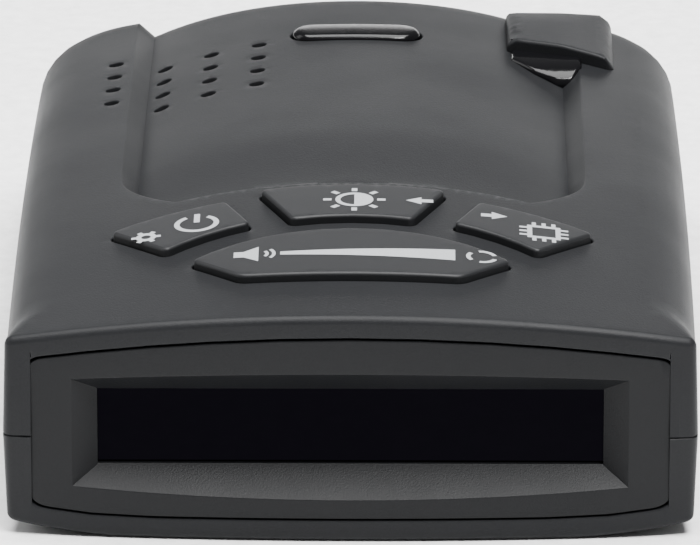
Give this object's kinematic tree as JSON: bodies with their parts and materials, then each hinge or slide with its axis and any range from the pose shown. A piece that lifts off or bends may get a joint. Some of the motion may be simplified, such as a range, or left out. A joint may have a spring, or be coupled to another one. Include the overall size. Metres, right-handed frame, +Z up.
{
  "type": "radar detector",
  "caption": "Dash-mounted radar detector: low crowned case with a recessed display window at one end, top keys, speaker holes, a hooded rear sensor and a bracket release button.",
  "frame": {"origin": "middle of the footprint, on the plane the base rests on", "axes": "+Y from the display end towards the horn end, along the road; +X to the driver's right; +Z up"},
  "size_m": [0.0706, 0.104, 0.0265],
  "materials": {
    "case_plastic": "fine-textured matte, near black",
    "bezel_plastic": "fine-textured matte black",
    "window_acrylic": "polished dark acrylic",
    "key_plastic": "smooth satin, dark grey",
    "gloss_black": "polished black",
    "lens_tint": "polished infrared-pass tint",
    "holder_plastic": "natural nylon",
    "inner_plastic": "black moulding",
    "board_green": "solder mask",
    "board_black": "black solder mask",
    "board_rf": "ceramic-filled laminate",
    "chip_epoxy": "moulded epoxy",
    "capacitor_can": "drawn can",
    "plated_steel": "tin plated",
    "cast_zinc": "as die-cast",
    "ceramic": "fired ceramic with silver face",
    "flex_film": "polyimide film",
    "spring_steel": "drawn wire",
    "cone_film": "formed polymer film",
    "magnet_iron": "plated magnet cup",
    "foam": "closed-cell foam",
    "mesh_cloth": "woven dust cloth",
    "contact_brass": "plated brass",
    "screw_steel": "blackened steel",
    "label_film": "blank satin film"
  },
  "bodies": {
    "case": {"upper_case": "case_plastic", "lower_case": "case_plastic", "display_bezel": "bezel_plastic", "display_window": "window_acrylic", "display_module": "board_black", "display_holder": "holder_plastic", "display_flex": "flex_film", "key_switch_bodies": "inner_plastic", "key_board": "board_green", "key_flex": "flex_film", "release_spring": "spring_steel", "bracket_guide": "inner_plastic", "rear_laser_lens": "gloss_black", "rear_laser_sensor": "board_black", "front_laser_lens": "lens_tint", "front_laser_sensor": "board_black", "main_board": "board_green", "processor_chip": "chip_epoxy", "support_chips": "chip_epoxy", "capacitors": "capacitor_can", "crystal": "plated_steel", "backup_battery": "plated_steel", "horn_antenna": "cast_zinc", "rf_board": "board_rf", "rf_shield": "plated_steel", "rf_header": "inner_plastic", "gps_patch_antenna": "ceramic", "gps_board": "board_green", "speaker_frame": "inner_plastic", "speaker_cone": "cone_film", "speaker_magnet": "magnet_iron", "speaker_gasket": "foam", "speaker_mesh": "mesh_cloth", "dc_jack": "inner_plastic", "dc_jack_pin": "contact_brass", "usb_port": "plated_steel", "case_screws": "screw_steel", "board_screws": "screw_steel", "base_label": "label_film"},
    "power": {"power_key": "key_plastic", "power_switch_stem": "holder_plastic"},
    "brightness": {"brightness_key": "key_plastic", "brightness_switch_stem": "holder_plastic"},
    "mode": {"mode_key": "key_plastic", "mode_switch_stem": "holder_plastic"},
    "volume": {"volume_key": "key_plastic", "volume_switch_stem": "holder_plastic"},
    "release": {"release_button": "gloss_black", "bracket_latch": "holder_plastic"}
  },
  "joints": [
    {"name": "power_press", "type": "slide", "parent": "case", "child": "power", "axis": [0, 0, -1], "range_m": [0, 0.0005], "stiffness_N_per_m": 1500, "springref_m": -0.0005},
    {"name": "brightness_press", "type": "slide", "parent": "case", "child": "brightness", "axis": [0, 0, -1], "range_m": [0, 0.0005], "stiffness_N_per_m": 1500, "springref_m": -0.0005},
    {"name": "mode_press", "type": "slide", "parent": "case", "child": "mode", "axis": [0, 0, -1], "range_m": [0, 0.0005], "stiffness_N_per_m": 1500, "springref_m": -0.0005},
    {"name": "volume_press", "type": "slide", "parent": "case", "child": "volume", "axis": [0, 0, -1], "range_m": [0, 0.0005], "stiffness_N_per_m": 1500, "springref_m": -0.0005},
    {"name": "release_press", "type": "slide", "parent": "case", "child": "release", "axis": [0, 0, -1], "range_m": [0, 0.0012], "stiffness_N_per_m": 800, "springref_m": -0.0025, "deforming": ["release_spring"]}
  ]
}
